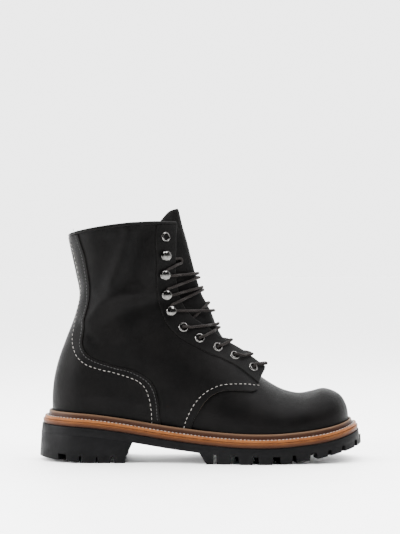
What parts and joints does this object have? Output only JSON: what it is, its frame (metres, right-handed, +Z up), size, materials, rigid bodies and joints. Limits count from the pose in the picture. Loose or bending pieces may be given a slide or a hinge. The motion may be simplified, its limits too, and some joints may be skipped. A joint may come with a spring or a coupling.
{
  "type": "lace-up leather boot",
  "caption": "Right lace-up leather work boot with a rounded plain toe, stitched quarters, tongue, eyelets and hooks, a storm welt and a lugged rubber sole with a heel.",
  "frame": {"origin": "on the floor, under the middle of the boot's box", "axes": "+X from heel to toe, +Y to the medial side, +Z up"},
  "size_m": [0.307, 0.1144, 0.2384],
  "materials": {
    "black_leather": "smooth waxed leather with a soft sheen",
    "tan_leather": "cut and waxed edge",
    "black_rubber": "matt moulded rubber",
    "insole_leather": "plain matt board",
    "nickel": "nickel plate",
    "brown_lace": "round braided cord"
  },
  "bodies": {
    "root": {"upper": "black_leather", "heel_counter": "black_leather", "eyestay_lateral": "black_leather", "eyestay_medial": "black_leather", "collar_binding": "black_leather", "tongue": "black_leather", "welt": "tan_leather", "midsole": "tan_leather", "outsole": "black_rubber", "heel": "black_rubber", "insole": "insole_leather", "eyelet_lateral_1": "nickel", "eyelet_lateral_2": "nickel", "eyelet_lateral_3": "nickel", "eyelet_lateral_4": "nickel", "eyelet_lateral_5": "nickel", "eyelet_lateral_6": "nickel", "hook_lateral_1": "nickel", "hook_lateral_2": "nickel", "hook_lateral_3": "nickel", "hook_lateral_4": "nickel", "eyelet_medial_1": "nickel", "eyelet_medial_2": "nickel", "eyelet_medial_3": "nickel", "eyelet_medial_4": "nickel", "eyelet_medial_5": "nickel", "eyelet_medial_6": "nickel", "hook_medial_1": "nickel", "hook_medial_2": "nickel", "hook_medial_3": "nickel", "hook_medial_4": "nickel", "lace_bar": "brown_lace", "lace_crossing_1": "brown_lace", "lace_crossing_2": "brown_lace", "lace_crossing_3": "brown_lace", "lace_crossing_4": "brown_lace", "lace_crossing_5": "brown_lace", "lace_crossing_6": "brown_lace", "lace_crossing_7": "brown_lace"}
  },
  "joints": []
}
